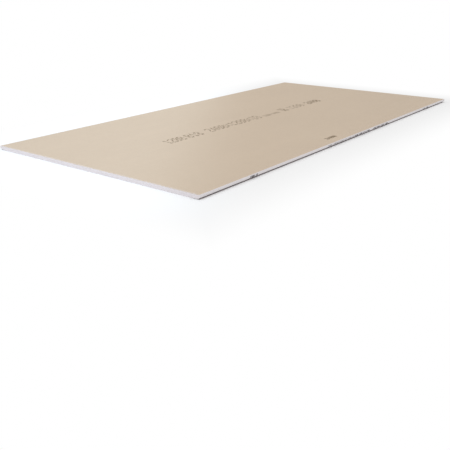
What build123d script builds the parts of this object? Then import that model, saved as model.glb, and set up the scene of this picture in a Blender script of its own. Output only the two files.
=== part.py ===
from build123d import *
import os

# Drywall sheet: one gypsum board, lying flat with its tapered face down and its plain back up.
# X runs across the width, Y along the length, and Z up from the flat of the face.

# The sheet as it is sold
sheet_width = 1200.0
sheet_length = 2400.0
sheet_thickness = 18.0

# The long edges are thinned on the face, so that joint tape and filler lie flush there
taper_width = 50.0
taper_depth = 2.5

# The half-round nose, where the taper turns up into the edge
nose_radius = 10.0

# The tight fold, where the edge meets the back
fold_radius = 1.5

half_width = sheet_width / 2
half_length = sheet_length / 2
taper_start = half_width - taper_width


def edge_corners(section):
    """The corners of the section that lie on its two long edges."""
    by_width = section.vertices().group_by(Axis.X)
    return by_width[0] + by_width[-1]


with BuildPart() as sheet:
    # Half the section from the middle of the face to the middle of the back, and its mirror image
    with BuildSketch(Plane.XZ) as section:
        with BuildLine() as outline:
            Polyline(
                (0, 0),
                (taper_start, 0),
                (half_width, taper_depth),
                (half_width, sheet_thickness),
                (0, sheet_thickness),
            )
            mirror(about=Plane.YZ)
        make_face()
        fillet(edge_corners(section).group_by(Axis.Y)[0], radius=nose_radius)
        fillet(edge_corners(section).group_by(Axis.Y)[-1], radius=fold_radius)
    # The board line runs along Y, and the knife cuts both ends square
    extrude(amount=half_length, both=True)

sheet.part.label = "drywall_sheet"

os.makedirs("parts", exist_ok=True)
export_step(sheet.part, "parts/drywall_sheet.step")
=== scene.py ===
# %% [markdown]
# # A drywall sheet
#
# A drywall sheet is a slab of set gypsum between two papers. The face paper is the wide one: it wraps round
# both long edges and folds onto the back. The back paper is glued on over those flaps. The ends are cut
# across, so the white gypsum shows only there. The CAD model holds the sheet as one solid, with its size and
# the shape of its edges. Here that solid is replaced by the layers that the eye sees, because each has a
# finish of its own.

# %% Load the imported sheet
import math
import random

import bmesh
import bpy
from mathutils import Euler, Matrix, Vector


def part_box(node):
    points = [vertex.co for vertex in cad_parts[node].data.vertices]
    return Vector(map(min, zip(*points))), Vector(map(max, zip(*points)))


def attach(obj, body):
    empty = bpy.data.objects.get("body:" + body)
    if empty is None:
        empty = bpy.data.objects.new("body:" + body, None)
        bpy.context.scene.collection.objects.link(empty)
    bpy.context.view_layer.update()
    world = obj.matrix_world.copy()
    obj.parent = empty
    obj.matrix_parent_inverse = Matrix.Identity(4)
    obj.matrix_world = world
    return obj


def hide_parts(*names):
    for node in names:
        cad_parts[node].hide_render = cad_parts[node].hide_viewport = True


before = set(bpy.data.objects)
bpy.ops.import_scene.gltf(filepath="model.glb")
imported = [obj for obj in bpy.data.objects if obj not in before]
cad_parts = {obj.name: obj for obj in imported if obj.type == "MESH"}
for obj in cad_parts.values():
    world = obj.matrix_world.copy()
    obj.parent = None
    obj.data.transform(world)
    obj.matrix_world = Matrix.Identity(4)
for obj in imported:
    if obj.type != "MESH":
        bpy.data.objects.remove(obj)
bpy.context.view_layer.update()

# %% [markdown]
# ## The sizes of the board
#
# The overall size comes from the imported CAD solid, so the layers always fit the solid that they stand for.
# The edge's shape repeats the values of the CAD section. The papers are about as thick as a postcard.

# %% Sizes
MM = 0.001
sheet_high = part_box("drywall_sheet")[1]
half_width = sheet_high.x
half_length = sheet_high.y
thickness = sheet_high.z

taper_width = 50 * MM
taper_depth = 2.5 * MM
taper_start = half_width - taper_width
nose_radius = 10 * MM
fold_radius = 1.5 * MM

paper = 0.4 * MM
flap_width = 28 * MM
flap_top = thickness - paper

# The taper and the upright edge meet at a little over a right angle, so a bevel reaches a little less far
# than its radius
nose_angle = math.pi / 2 + math.atan2(taper_depth, taper_width)
nose_reach = 1 / math.tan(nose_angle / 2)
print("Sheet of", round(half_width * 2, 3), "x", round(half_length * 2, 3), "x", round(thickness, 4), "m")

# %% [markdown]
# ## Picking edges without a mouse
#
# Blender's edit mode tools act on what is selected. By hand one clicks the edges. In a script they are found
# by where they lie, so a small helper walks over the corners, edges or faces and selects those that pass a
# test.

# %% Helpers for edit mode
NEAR = 0.01 * MM


def middles(shape, kind):
    """Each corner, edge or face of the shape, with its middle."""
    if kind == "VERT":
        return [(corner, corner.co) for corner in shape.verts]
    if kind == "EDGE":
        return [(edge, (edge.verts[0].co + edge.verts[1].co) / 2) for edge in shape.edges]
    return [(face, face.calc_center_median()) for face in shape.faces]


def pick(kind, test):
    """Selects, in edit mode, what passes the test by where its middle lies. Returns how many that were."""
    bpy.ops.mesh.select_mode(type=kind)
    bpy.ops.mesh.select_all(action="DESELECT")
    mesh = bpy.context.edit_object.data
    shape = bmesh.from_edit_mesh(mesh)
    found = [part for part, middle in middles(shape, kind) if test(middle)]
    for part in found:
        part.select_set(True)
    shape.select_flush_mode()
    bmesh.update_edit_mesh(mesh)
    return len(found)


def same(value, wanted):
    """True where two coordinates agree."""
    return abs(value - wanted) < NEAR


def on_both_sides(across, level):
    """A test for what lies so far across from the middle, to the left and to the right, at one level."""
    return lambda middle: same(abs(middle.x), across) and same(middle.z, level)


def cut_across(axis, place):
    """Cuts the selected faces with a plane square to an axis: 0 for X, 1 for Y and 2 for Z."""
    point = Vector()
    normal = Vector()
    point[axis] = place
    normal[axis] = 1
    bpy.ops.mesh.bisect(plane_co=point, plane_no=normal)


def round_off(test, reach, segments):
    """Rounds the edges that pass the test. Reach is how far the rounding runs to each side of an edge."""
    picked = pick("EDGE", test)
    bpy.ops.mesh.bevel(offset=reach, offset_type="OFFSET", segments=segments, profile=0.5, affect="EDGES")
    return picked


def begin(name):
    """Names the primitive that was just added, and opens it in edit mode."""
    piece = bpy.context.object
    piece.name = name
    piece.data.name = name
    bpy.ops.object.mode_set(mode="EDIT")
    return piece


def apply_modifier(piece, kind, **settings):
    """Adds a modifier to the piece and applies it at once."""
    modifier = piece.modifiers.new(kind.lower(), kind)
    for name, value in settings.items():
        setattr(modifier, name, value)
    bpy.ops.object.modifier_apply(modifier=modifier.name)


def report(piece):
    """Prints the size of a finished piece and its number of faces."""
    size = [round(side / MM, 2) for side in piece.dimensions]
    print(piece.name, "measures", size, "mm and has", len(piece.data.polygons), "faces")


# %% [markdown]
# ## The camera
#
# The camera stands where the photograph was taken from: off the right-hand front corner, a little above the
# sheet, looking down by about twenty degrees. Its place was worked out from lines along the four sides of
# the sheet's back, and from the corners where they meet. It comes first, so that every later step can be
# looked at from the same spot.

# %% Camera
camera_place = (1.968, -2.805, 0.720)
look_azimuth = math.radians(38.02)
look_down = math.radians(21.14)
lean = math.radians(-0.31)
sensor_millimetres = 36
lens_millimetres = 50.5

aim = Matrix.Rotation(look_azimuth, 3, "Z") @ Matrix.Rotation(math.pi / 2 - look_down, 3, "X")
aim = aim @ Matrix.Rotation(lean, 3, "Z")
bpy.ops.object.select_all(action="DESELECT")
bpy.ops.object.camera_add(location=camera_place, rotation=aim.to_euler())
camera = bpy.context.object
camera.name = "photo_camera"
camera.data.sensor_width = sensor_millimetres
camera.data.lens = lens_millimetres
bpy.context.scene.camera = camera
print("Camera", round(camera.location.length, 2), "m from the middle of the sheet")

# %% [markdown]
# ## The gypsum core
#
# The core is poured as a slurry between the papers and sets into one slab. It shows only at the two cut
# ends, so a thin plate at each end would do, but a whole slab is just as easy and stays right if the sheet
# is cut open. It starts as a box inside the papers. Raising its lower long edges makes the tapers, and
# lowering a strip along the back makes the beds in which the face paper's flaps lie.

# %% Core: box, tapers, flap beds and rounded edges
bpy.ops.object.select_all(action="DESELECT")
bpy.ops.mesh.primitive_cube_add(size=1)
gypsum_core = begin("gypsum_core")
core_half = half_width - paper
bpy.ops.transform.resize(value=(core_half * 2, half_length * 2, thickness - paper * 2))
bpy.ops.transform.translate(value=(0, 0, thickness / 2))

for side in (-1, 1):
    bpy.ops.mesh.select_all(action="SELECT")
    cut_across(0, side * taper_start)
pick("VERT", on_both_sides(core_half, paper))
bpy.ops.transform.translate(value=(0, 0, taper_depth))

bed_edge = half_width - flap_width
bed_slope = 1 * MM
for cut in (bed_edge, bed_edge - bed_slope):
    for side in (-1, 1):
        bpy.ops.mesh.select_all(action="SELECT")
        cut_across(0, side * cut)
pick("VERT", lambda middle: abs(middle.x) > bed_edge - NEAR and same(middle.z, flap_top))
bpy.ops.transform.translate(value=(0, 0, -paper))

core_nose = (nose_radius - paper) * nose_reach
core_fold = fold_radius - paper
round_off(on_both_sides(core_half, paper + taper_depth), core_nose, segments=8)
round_off(on_both_sides(core_half, flap_top - paper), core_fold, segments=3)
bpy.ops.object.mode_set(mode="OBJECT")
report(gypsum_core)

# %% [markdown]
# ## Rough cut ends
#
# A knife chops the wet board to length, and the crystals tear a little, so a cut end is never quite flat.
# The end faces are cut into small patches, and a Displace modifier draws their corners in by a fraction of a
# millimetre with a cloud texture. It only ever goes inwards, so the sheet keeps its length. A cut across the
# slab close to each end comes first, so that the many new corners stay in a short strip.

# %% Core: torn ends
END_NAMES = {-1: "front_end", 1: "rear_end"}


def at_an_end(middle):
    """A test for what lies at one of the cut ends."""
    return same(abs(middle.y), half_length)


def name_ends():
    """Puts the corners at each cut end into a vertex group of its own."""
    for end, group in END_NAMES.items():
        pick("VERT", lambda middle: same(middle.y, end * half_length))
        bpy.ops.object.vertex_group_assign_new()
        bpy.context.object.vertex_groups.active.name = group


def draw_in_ends(piece, depth, grain):
    """Draws the corners of both cut ends inwards by up to the depth, in waves about as long as the grain."""
    torn = bpy.data.textures.new(piece.name + "_tear", "CLOUDS")
    torn.noise_scale = grain
    for end, group in END_NAMES.items():
        apply_modifier(
            piece,
            "DISPLACE",
            texture=torn,
            texture_coords="LOCAL",
            direction="Y",
            mid_level=0,
            strength=-end * depth,
            vertex_group=group,
        )


end_strip = 6 * MM
patch_width = 8 * MM
patch_level_shares = (0.25, 0.42, 0.58, 0.75)
patches = round(core_half * 2 / patch_width)
bpy.ops.object.mode_set(mode="EDIT")
for end in END_NAMES:
    bpy.ops.mesh.select_all(action="SELECT")
    cut_across(1, end * (half_length - end_strip))
for number in range(1, patches):
    pick("FACE", at_an_end)
    cut_across(0, -core_half + number * core_half * 2 / patches)
for share in patch_level_shares:
    pick("FACE", at_an_end)
    cut_across(2, share * thickness)
name_ends()
bpy.ops.object.mode_set(mode="OBJECT")
draw_in_ends(gypsum_core, depth=1.2 * MM, grain=14 * MM)
report(gypsum_core)

# %% [markdown]
# ## The face paper
#
# One wide sheet of pale paper covers the face, runs up the tapers, turns round the noses and ends in a flap
# on the back. It could be cut out of the solid's outside. Here it is folded, as on the board line: a plane
# the size of the flat is extruded along its long edges, once for the taper, once for the upright edge and
# once for the flap. Two bevels round the folds, and Solidify gives the paper its thickness, inwards.

# %% Face paper: flat, tapers, edges and flaps
COLUMNS = 220
smooth_angle = math.radians(25)
paper_tear = 0.8 * MM
paper_grain = 20 * MM


def lay_paper(name, half_span, level):
    """A plane of paper, ruled into columns so that its cut ends can be made uneven. It stays in edit mode."""
    bpy.ops.object.select_all(action="DESELECT")
    bpy.ops.mesh.primitive_plane_add(size=1)
    piece = begin(name)
    bpy.ops.transform.resize(value=(half_span * 2, half_length * 2, 1))
    bpy.ops.transform.translate(value=(0, 0, level))
    pick("EDGE", at_an_end)
    bpy.ops.mesh.subdivide(number_cuts=COLUMNS - 1)
    return piece


face_paper = lay_paper("face_paper", taper_start, 0)
for side in (-1, 1):
    pick("EDGE", lambda middle: same(middle.x, side * taper_start))
    folds = (
        (side * taper_width, 0, taper_depth),
        (0, 0, flap_top - taper_depth),
        (-side * flap_width, 0, 0),
    )
    for fold in folds:
        bpy.ops.mesh.extrude_edges_move(TRANSFORM_OT_translate={"value": fold})

noses = round_off(on_both_sides(half_width, taper_depth), nose_radius * nose_reach, segments=10)
turns = round_off(on_both_sides(half_width, flap_top), fold_radius, segments=4)
bpy.ops.mesh.select_all(action="SELECT")
bpy.ops.mesh.flip_normals()
name_ends()
bpy.ops.object.mode_set(mode="OBJECT")
apply_modifier(face_paper, "SOLIDIFY", thickness=paper, offset=-1, use_even_offset=True)
draw_in_ends(face_paper, paper_tear, paper_grain)
bpy.ops.object.shade_smooth_by_angle(angle=smooth_angle)
print(noses, "noses and", turns, "turns rounded")
report(face_paper)

# %% [markdown]
# ## The back paper
#
# The back paper is a plain strip, a little narrower than the sheet, glued over the flaps. Its long edges are
# pared thin so that they lie down flat and no nail catches them. So it is a plane with a thickness, whose
# upper long edges are moved in to make the pared slope.

# %% Back paper: strip with pared edges
back_margin = 2.5 * MM
pared_width = 1.5 * MM
back_half = half_width - back_margin

back_paper = lay_paper("back_paper", back_half, thickness)
name_ends()
bpy.ops.object.mode_set(mode="OBJECT")
apply_modifier(back_paper, "SOLIDIFY", thickness=paper, offset=-1)
bpy.ops.object.mode_set(mode="EDIT")
for side in (-1, 1):
    pick("VERT", lambda middle: same(middle.x, side * back_half) and same(middle.z, thickness))
    bpy.ops.transform.translate(value=(-side * pared_width, 0, 0))
bpy.ops.object.mode_set(mode="OBJECT")
draw_in_ends(back_paper, paper_tear, paper_grain)
report(back_paper)

# %% [markdown]
# ## The print
#
# While the board moves, a row of nozzles sprays plain figures along the middle of its back and, smaller,
# along its edge. Printing could be a picture on the paper, but a picture blurs when one comes close. So each
# drop of ink is a small disc, half of it sunk into the paper. One drop is modelled and then copied in the
# pattern of each figure. The figures are the sheet's own measures in millimetres: 1200 wide, 2400 long and
# 18 thick. In the longest group, crosses stand between them.

# %% Print: one drop of ink
ink_film = 0.2 * MM
drop_corners = 10
drop_top_share = 0.86


def model_drop():
    """A disc one wide with a sloping rim, as high as the film of ink. Its middle is at the origin."""
    bpy.ops.object.select_all(action="DESELECT")
    bpy.ops.mesh.primitive_circle_add(vertices=drop_corners, radius=0.5, fill_type="NGON")
    made = begin("drop_of_ink")
    bpy.ops.transform.translate(value=(0, 0, -ink_film / 2))
    bpy.ops.mesh.extrude_region_move(TRANSFORM_OT_translate={"value": (0, 0, ink_film)})
    bpy.ops.transform.resize(value=(drop_top_share, drop_top_share, 1))
    bpy.ops.mesh.select_all(action="SELECT")
    bpy.ops.mesh.normals_make_consistent(inside=False)
    bpy.ops.object.mode_set(mode="OBJECT")
    return made


drop = model_drop()
report(drop)

# %% Print: figures made of drops
DOT_ROWS = 7
DOT_COLUMNS = 5
DOTS = {
    "0": (".###.", "#...#", "#..##", "#.#.#", "##..#", "#...#", ".###."),
    "1": ("..#..", ".##..", "..#..", "..#..", "..#..", "..#..", ".###."),
    "2": (".###.", "#...#", "....#", "..##.", ".#...", "#....", "#####"),
    "4": ("...#.", "..##.", ".#.#.", "#..#.", "#####", "...#.", "...#."),
    "8": (".###.", "#...#", "#...#", ".###.", "#...#", "#...#", ".###."),
    "x": (".....", "#...#", ".#.#.", "..#..", ".#.#.", "#...#", "....."),
    " ": (),
}
# How far drops stray, in dots, and how much they differ in width and in height
STRAY_ALONG = 0.1
STRAY_UP = 0.05
DROP_WIDTHS = (0.88, 1.08)
DROP_HEIGHTS = (0.8, 1.1)

# Figures on the back read along +Y with their tops towards -X. Those on the right edge read along +Y and
# stand up.
on_back = Euler((0, 0, math.pi / 2)).to_matrix()
on_edge = Euler((math.pi / 2, 0, math.pi / 2)).to_matrix()
shake = random.Random(18)


def dots(figures):
    """The column and the row of each drop in a line of figures, counted from the lower left corner."""
    for number, figure in enumerate(figures):
        for row, line in enumerate(DOTS[figure]):
            for column, mark in enumerate(line):
                if mark == "#":
                    yield (DOT_COLUMNS + 1) * number + column, DOT_ROWS - 1 - row


def spray(figures, place, length, height, turn, fullness):
    """Copies of the drop as figures that start at a place. Fullness is a drop's width against its space."""
    step_along = length / ((DOT_COLUMNS + 1) * len(figures) - 1)
    step_up = height / DOT_ROWS
    width = fullness * math.sqrt(step_along * step_up)
    drops = []
    for column, row in dots(figures):
        steps = column + 0.5 + shake.uniform(-STRAY_ALONG, STRAY_ALONG)
        rise = row + 0.5 + shake.uniform(-STRAY_UP, STRAY_UP)
        spot = Vector(place) + turn @ Vector((steps * step_along, rise * step_up, 0))
        size = width * shake.uniform(*DROP_WIDTHS)
        # Drops that overlap differ in height, so no two of their tops lie in one plane
        high = shake.uniform(*DROP_HEIGHTS)
        copy = drop.copy()
        copy.data = drop.data.copy()
        copy.matrix_world = Matrix.LocRotScale(spot, turn, (size, size, high))
        bpy.context.collection.objects.link(copy)
        drops.append(copy)
    return drops


def bind(name, drops):
    """Joins drops into one piece of print, with its place in its mesh."""
    bpy.ops.object.select_all(action="DESELECT")
    for inked in drops:
        inked.select_set(True)
    bpy.context.view_layer.objects.active = drops[0]
    bpy.ops.object.join()
    bpy.ops.object.transform_apply(location=True, rotation=True, scale=True)
    piece = bpy.context.object
    piece.name = name
    piece.data.name = name
    report(piece)
    return piece


# %% Print: the line along the back
THIN = 0.9
LIGHT = 1.0
FULL = 1.07
HEAVY = 1.3
STAMPED = 1.8
SOAKED = 2.4
foot_line = 8 * MM
# Figures, where they start and end along the sheet, how far they stand above the foot line, how high they
# are and how full of ink
back_line = (
    ("1200", -703, -577, 0, 66, FULL),
    ("018", -554, -450, 0, 66, FULL),
    ("2400x1200x18", -393, 52, 0, 68, LIGHT),
    ("1200 2400", 75, 227, 0, 30, FULL),
    ("18", 270, 321, 0, 66, HEAVY),
    ("1200", 357, 505, 4, 58, THIN),
    ("2400", 554, 691, 2, 57, HEAVY),
)
drops = []
for figures, start, end, raised, height, fullness in back_line:
    place = (foot_line - raised * MM, start * MM, thickness)
    drops += spray(figures, place, (end - start) * MM, height * MM, on_back, fullness)

# A smaller, darker number stands beside the right edge
mark_place = (550 * MM, -196 * MM, thickness)
mark_length = 88 * MM
mark_height = 22 * MM
drops += spray("2400", mark_place, mark_length, mark_height, on_back, STAMPED)
print(len(drops), "drops on the back")
back_print = bind("back_print", drops)

# %% Print: the small line along the right edge
edge_foot = 5.4 * MM
edge_height = 8.2 * MM
nose_top = taper_depth + nose_radius * nose_reach


def wrap_round_nose(drops):
    """Bends a line that hangs below the flat of the right edge, so that it follows the nose."""
    axle = Matrix.Translation((half_width - nose_radius, 0, nose_top))
    for inked in drops:
        hangs = nose_top - inked.location.z
        if hangs > 0:
            lift = Matrix.Translation((0, 0, hangs))
            bend = Matrix.Rotation(hangs / nose_radius, 4, "Y")
            inked.matrix_world = axle @ bend @ axle.inverted() @ lift @ inked.matrix_world


# Figures, where they start and end along the sheet, and how full of ink they are
edge_line = (
    ("1200 18", -896, -843, SOAKED),
    ("2400 1200", -284, -205, HEAVY),
    ("018 2400 018", -199, -100, HEAVY),
    ("1200 18", -91, -29, HEAVY),
    ("2400 1200 018 2400", -20, 142, STAMPED),
    ("1200 2400", 181, 262, STAMPED),
    ("2400 1200", 273, 360, STAMPED),
    ("1200 2400", 842, 932, HEAVY),
)
drops = []
for figures, start, end, fullness in edge_line:
    place = (half_width, start * MM, edge_foot)
    drops += spray(figures, place, (end - start) * MM, edge_height, on_edge, fullness)
wrap_round_nose(drops)
print(len(drops), "drops on the edge")
edge_print = bind("edge_print", drops)
bpy.data.objects.remove(drop)

# %% [markdown]
# ## Shader maths in plain Python
#
# A material's pattern is a sum of noises. Drawn as nodes that is a web of Math nodes. So one small class
# wraps a socket: its signs add the Math nodes, and its node method adds any other node by name. The patterns
# below then read like formulas.

# %% A wire that can be added and multiplied


class Wire:
    """A value in a node tree. Signs add Math nodes, and node adds any other kind."""

    def __init__(self, tree, socket=None):
        self.tree = tree
        self.socket = socket

    def plug(self, node, inputs):
        """Sets or links a node's inputs."""
        for name, value in inputs.items():
            if isinstance(value, Wire):
                self.tree.links.new(value.socket, node.inputs[name])
            else:
                node.inputs[name].default_value = value

    def node(self, kind, settings=None, inputs=None, output=0):
        """Adds a node: its settings first, then its inputs. Returns one of its outputs."""
        made = self.tree.nodes.new("ShaderNode" + kind)
        for name, value in (settings or {}).items():
            setattr(made, name, value)
        self.plug(made, inputs or {})
        return Wire(self.tree, made.outputs[output])

    def maths(self, operation, first, second):
        """Adds a Math node for two values."""
        return self.node("Math", {"operation": operation}, {0: first, 1: second})

    def __add__(self, other):
        return self.maths("ADD", self, other)

    def __sub__(self, other):
        return self.maths("SUBTRACT", self, other)

    def __rsub__(self, other):
        return self.maths("SUBTRACT", other, self)

    def __mul__(self, other):
        return self.maths("MULTIPLY", self, other)

    __radd__ = __add__
    __rmul__ = __mul__

    def __abs__(self):
        return self.node("Math", {"operation": "ABSOLUTE"}, {0: self})

    def higher(self, other):
        """The higher of two values."""
        return self.maths("MAXIMUM", self, other)

    def step(self, low, high):
        """Rises smoothly from 0 at low to 1 at high. With low above high it falls."""
        settings = {"interpolation_type": "SMOOTHSTEP"}
        if low < high:
            return self.node("MapRange", settings, {"Value": self, "From Min": low, "From Max": high})
        return 1 - self.step(high, low)

    def mix(self, first, second):
        """A colour between two colours, by this value."""
        return self.node("Mix", {"data_type": "RGBA"}, {0: self, 6: first, 7: second}, output=2)

    def tint(self, colour):
        """A colour made lighter or darker by this value."""
        return self.node("VectorMath", {"operation": "SCALE"}, {0: colour[:3], "Scale": self})


def noise(board, size, stretch=(1, 1, 1), detail=2, turned=0.0):
    """Soft noise about 0.5 with blots of the given size, drawn out along the axes and turned about Z."""
    place = board.node("TexCoord", output="Object")
    scale = [1 / (size * longer) for longer in stretch]
    mapped = board.node("Mapping", None, {"Vector": place, "Scale": scale, "Rotation": (0, 0, turned)})
    return board.node("TexNoise", None, {"Vector": mapped, "Scale": 1, "Detail": detail})


def along(board, axis):
    """The place of a point along one axis, in metres: 0 for X, 1 for Y and 2 for Z."""
    place = board.node("TexCoord", output="Object")
    return board.node("SeparateXYZ", None, {0: place}, output=axis)


def finish(name, paint):
    """A material. Paint takes a blank wire and returns the inputs of the Principled shader."""
    material = bpy.data.materials.new(name)
    material.use_nodes = True
    board = Wire(material.node_tree)
    shader = material.node_tree.nodes["Principled BSDF"]
    board.plug(shader, paint(board))
    print("Finish", name, "has", len(material.node_tree.nodes), "nodes")
    return material


def dress(piece, material):
    """Gives a piece its finish, hangs it on the root body and hides the CAD solid that it replaces."""
    piece.data.materials.clear()
    piece.data.materials.append(material)
    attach(piece, "root")
    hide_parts("drywall_sheet")


# %% [markdown]
# ## The back paper's finish
#
# The back is unbleached paper made of old paper: beige, matt, a little cloudy, and faintly streaked along
# the length because the fibres settle along the paper machine. Short dark and pale fibres lie in it, and
# dust from the cut whitens its ends. All of that is faint, since a new sheet looks almost even from a few
# steps away.

# %% Finish: back paper
BEIGE = (0.626, 0.510, 0.391, 1)
BROWN_FIBRE = (0.33, 0.25, 0.18, 1)
PALE_FIBRE = (0.74, 0.68, 0.59, 1)
GYPSUM_DUST = (0.80, 0.78, 0.78, 1)


def end_dust(board, reach):
    """How much dust from the cut lies on the paper: most at the ends, in patches, and none past the reach."""
    to_end = half_length - abs(along(board, 1))
    scattered = noise(board, 9 * MM, detail=3).step(0.35, 0.7)
    return to_end.step(reach, 0) * scattered


def paint_back_paper(board):
    """Beige with clouds, streaks and fibres, dusty at the ends, and a low step over the flaps."""
    clouds = noise(board, 40 * MM, detail=3)
    drifts = noise(board, 320 * MM, (1, 2, 1))
    streaks = noise(board, 14 * MM, (1, 70, 1))
    grain = noise(board, 1.5 * MM, detail=3)
    tone = 1 + 0.05 * (clouds - 0.5) + 0.06 * (drifts - 0.5) + 0.05 * (streaks - 0.5) + 0.10 * (grain - 0.5)
    brown = noise(board, 0.7 * MM, (1, 7, 1), turned=0.5).step(0.64, 0.72)
    pale = noise(board, 0.8 * MM, (1, 6, 1), turned=-0.7).step(0.64, 0.72)
    colour = tone.tint(BEIGE)
    colour = (brown * 0.6).mix(colour, BROWN_FIBRE)
    colour = (pale * 0.6).mix(colour, PALE_FIBRE)
    colour = (end_dust(board, 14 * MM) * 0.5).mix(colour, GYPSUM_DUST)
    # The flap's edge underneath shows through as a low step
    over_flap = abs(along(board, 0)).step(bed_edge - 1.5 * MM, bed_edge + 1.5 * MM)
    height = grain + 0.5 * clouds + 0.8 * over_flap
    bumps = board.node("Bump", None, {"Height": height, "Strength": 0.35, "Distance": 0.25 * MM})
    return {
        "Base Color": colour,
        "Roughness": 0.86 + 0.12 * (clouds - 0.5),
        "Specular IOR Level": 0.3,
        "Normal": bumps,
    }


dress(back_paper, finish("beige_back_paper", paint_back_paper))

# %% [markdown]
# ## The face paper's finish
#
# The face paper is bleached and calendered, so it is paler, cooler and smoother than the back. On the edge
# it is stretched round the nose, which shows as faint lines along the length.

# %% Finish: face paper
IVORY = (0.755, 0.716, 0.726, 1)


def paint_face_paper(board):
    """Ivory with faint clouds and drawn lines, dusty at the ends."""
    clouds = noise(board, 30 * MM, detail=3)
    drifts = noise(board, 400 * MM, (1, 2, 1))
    drawn = noise(board, 1.2 * MM, (1, 120, 1))
    grain = noise(board, 1.1 * MM, detail=3)
    tone = 1 + 0.03 * (clouds - 0.5) + 0.04 * (drifts - 0.5) + 0.04 * (drawn - 0.5) + 0.05 * (grain - 0.5)
    colour = (end_dust(board, 8 * MM) * 0.4).mix(tone.tint(IVORY), GYPSUM_DUST)
    bumps = board.node("Bump", None, {"Height": grain + drawn, "Strength": 0.15, "Distance": 0.2 * MM})
    return {
        "Base Color": colour,
        "Roughness": 0.74 + 0.12 * (clouds - 0.5),
        "Specular IOR Level": 0.35,
        "Normal": bumps,
    }


dress(face_paper, finish("ivory_face_paper", paint_face_paper))

# %% [markdown]
# ## The gypsum's finish
#
# Set gypsum is white with a cold cast, and foam is mixed into it to save weight. Cut across, its bubbles
# show as round pits of a millimetre or so, and the knife leaves fine upright scratches. The pits come from a
# Voronoi texture, which scatters cells of about equal size.

# %% Finish: gypsum
GYPSUM = (0.766, 0.714, 0.726, 1)
# Painted shade: the colour that the bubble pits take, darker than the gypsum
PAINTED_PIT_SHADE = (0.51, 0.48, 0.50, 1)


def bubbles(board, size):
    """1 inside round bubbles of many widths up to the size, which about half of the cells hold."""
    place = board.node("TexCoord", output="Object")
    cells = {"Vector": place, "Scale": 1 / size}
    to_middle = board.node("TexVoronoi", None, cells)
    chance = board.node("SeparateColor", None, {0: board.node("TexVoronoi", None, cells, output="Color")})
    return (0.9 * chance - 0.45 - to_middle).step(0, 0.28)


def paint_gypsum(board):
    """White with pits of two sizes, darkened as painted shade, and upright scratches."""
    pits = bubbles(board, 1.1 * MM).higher(bubbles(board, 2.8 * MM))
    scratches = noise(board, 0.6 * MM, (1, 1, 30))
    clouds = noise(board, 25 * MM, detail=3)
    tone = 1 + 0.06 * (clouds - 0.5) + 0.06 * (scratches - 0.5)
    # The pits get a darker colour: painted shade in the hollows, on top of their bump
    colour = (pits * 0.8).mix(tone.tint(GYPSUM), PAINTED_PIT_SHADE)
    height = 0.3 * scratches + 0.5 * clouds - pits
    bumps = board.node("Bump", None, {"Height": height, "Strength": 0.7, "Distance": 0.5 * MM})
    return {
        "Base Color": colour,
        "Roughness": 0.92 + 0.1 * (clouds - 0.5),
        "Specular IOR Level": 0.25,
        "Normal": bumps,
    }


dress(gypsum_core, finish("white_gypsum", paint_gypsum))

# %% [markdown]
# ## The ink's finish
#
# The ink is a thin brown-black that the paper drinks in. It takes badly on the paper's high spots, so the
# strokes are broken by small pale specks and vary in strength along the line.

# %% Finish: ink
BACK_INK = (0.105, 0.062, 0.022, 1)
EDGE_INK = (0.060, 0.056, 0.062, 1)


def ink(colour, bare):
    """Paint for a worn print of the colour, through which the bare paper shows in specks."""

    def paint(board):
        specks = noise(board, 0.9 * MM, (1, 4, 1), detail=3, turned=0.5).step(0.55, 0.66)
        fading = noise(board, 60 * MM)
        worn = specks * 0.4 + 0.1 * fading
        return {
            "Base Color": worn.mix(colour, bare),
            "Roughness": 0.72 + 0.16 * specks,
            "Specular IOR Level": 0.1,
        }

    return paint


dress(back_print, finish("brown_print_ink", ink(BACK_INK, BEIGE)))
dress(edge_print, finish("black_edge_ink", ink(EDGE_INK, IVORY)))

# %% [markdown]
# ## The floor and the light
#
# The sheet lies on a plain white floor in a white studio. An even white sky gives most of the light. Two
# soft boxes to the left of the sheet, towards its front, add pools of light that fade out across it: a cool
# one with a fairly sharp edge, and a wider, fainter one. The floor and the sky show white to the camera, by
# the Light Path node, and near the sheet the floor keeps its own shading, so that the shadow under the edges
# stays. Under the sheet the floor's colour is darkened as well, as painted shade that deepens the dark line
# below the tapered edges.

# %% Floor
FLOOR_WHITE = (0.95, 0.95, 0.95, 1)
# Painted shade: the floor's colour under the sheet, darker than the white around it
FLOOR_PAINTED_SHADE = (0.42, 0.38, 0.38, 1)
floor_size = 120
floor_drop = 0.2 * MM
# How wide the painted shade under the sheet fades to white, just inside the sheet's outline
painted_shade_fade = 5 * MM

# Past the sheet the floor turns to plain white, a part of it soon and the rest slowly
soon_part = 0.2
soon_fade = 30 * MM
slow_fade = 350 * MM

bpy.ops.object.select_all(action="DESELECT")
bpy.ops.mesh.primitive_plane_add(size=floor_size, location=(0, 0, -floor_drop))
floor = bpy.context.object
floor.name = "floor"


def seen(board):
    """1 for rays that end in the picture: straight from the camera, or by a mirror or glass."""
    straight = board.node("LightPath", output="Is Camera Ray")
    mirrored = board.node("LightPath", output="Is Glossy Ray")
    through = board.node("LightPath", output="Is Transmission Ray")
    return straight.higher(mirrored).higher(through)


def past_sheet(board):
    """How far a point of the floor lies outside the sheet's outline: less than nothing under the sheet."""
    past_side = abs(along(board, 0)) - half_width
    past_end = abs(along(board, 1)) - half_length
    return past_side.higher(past_end)


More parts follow.
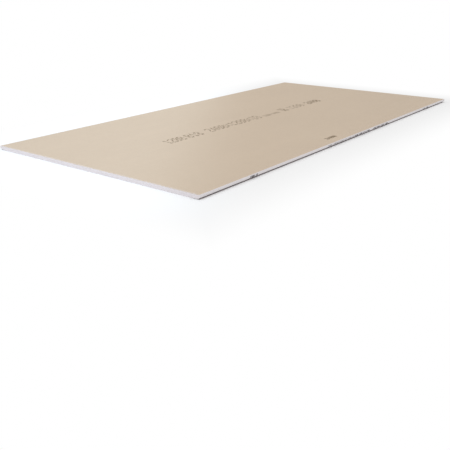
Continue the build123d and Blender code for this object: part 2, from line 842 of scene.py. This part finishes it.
def paint_floor(board):
    """Matt white, with painted shade under the sheet, which makes a dark line below the tapered edges."""
    # Painted shade: the floor's colour is darker under the sheet and fades to white over the last few
    # millimetres inside its outline
    colour = past_sheet(board).step(-painted_shade_fade, 0).mix(FLOOR_PAINTED_SHADE, FLOOR_WHITE)
    return {"Base Color": colour, "Roughness": 1, "Specular IOR Level": 0}


material = finish("white_floor", paint_floor)
board = Wire(material.node_tree)
own = Wire(board.tree, board.tree.nodes["Principled BSDF"].outputs[0])
white = board.node("Emission", None, {"Strength": 1})
past = past_sheet(board)
faded = soon_part * past.step(0, soon_fade) + (1 - soon_part) * past.step(0, slow_fade)
surface = board.node("MixShader", None, {0: seen(board) * faded, 1: own, 2: white})
board.plug(board.tree.nodes["Material Output"], {"Surface": surface})
floor.data.materials.append(material)
print("Floor", round(floor_drop / MM, 2), "mm under the sheet")

# %% Sky and soft boxes
sky_level = 0.87
world = bpy.data.worlds.new("white_studio")
bpy.context.scene.world = world
world.use_nodes = True
board = Wire(world.node_tree)
strength = sky_level + (1 - sky_level) * seen(board)
board.plug(world.node_tree.nodes["Background"], {"Color": (1, 1, 1, 1), "Strength": strength})

# The pools lie along this heading, which points over the sheet towards its right-hand rear corner. Their
# edges run square to it.
pool_angle = math.radians(35)
pool_heading = Vector((math.cos(pool_angle), math.sin(pool_angle), 0))
box_elevation = math.radians(60)
box_distance = 2.4
box_length = 3.2
box_width = 1.3


def hang_box(name, along_heading, spread, energy, colour):
    """A soft box whose pool of light lies so far along the heading. A small spread keeps the pool sharp."""
    middle = along_heading * pool_heading
    place = middle - box_distance * math.cos(box_elevation) * pool_heading
    place.z = box_distance * math.sin(box_elevation)
    bpy.ops.object.light_add(type="AREA", location=place)
    box = bpy.context.object
    box.name = name
    box.rotation_euler = (middle - place).to_track_quat("-Z", "Y").to_euler()
    box.visible_camera = False
    box.data.shape = "RECTANGLE"
    box.data.size = box_length
    box.data.size_y = box_width
    box.data.spread = math.radians(spread)
    box.data.energy = energy
    box.data.color = colour
    print("Box", name, "at", [round(side, 2) for side in place])


hang_box("cool_box", along_heading=-1.0, spread=12, energy=4.27, colour=(0.648, 0.82, 1))
hang_box("fill_box", along_heading=-0.3, spread=26, energy=0.6, colour=(1, 1, 1))
bpy.context.scene.view_settings.view_transform = "Standard"
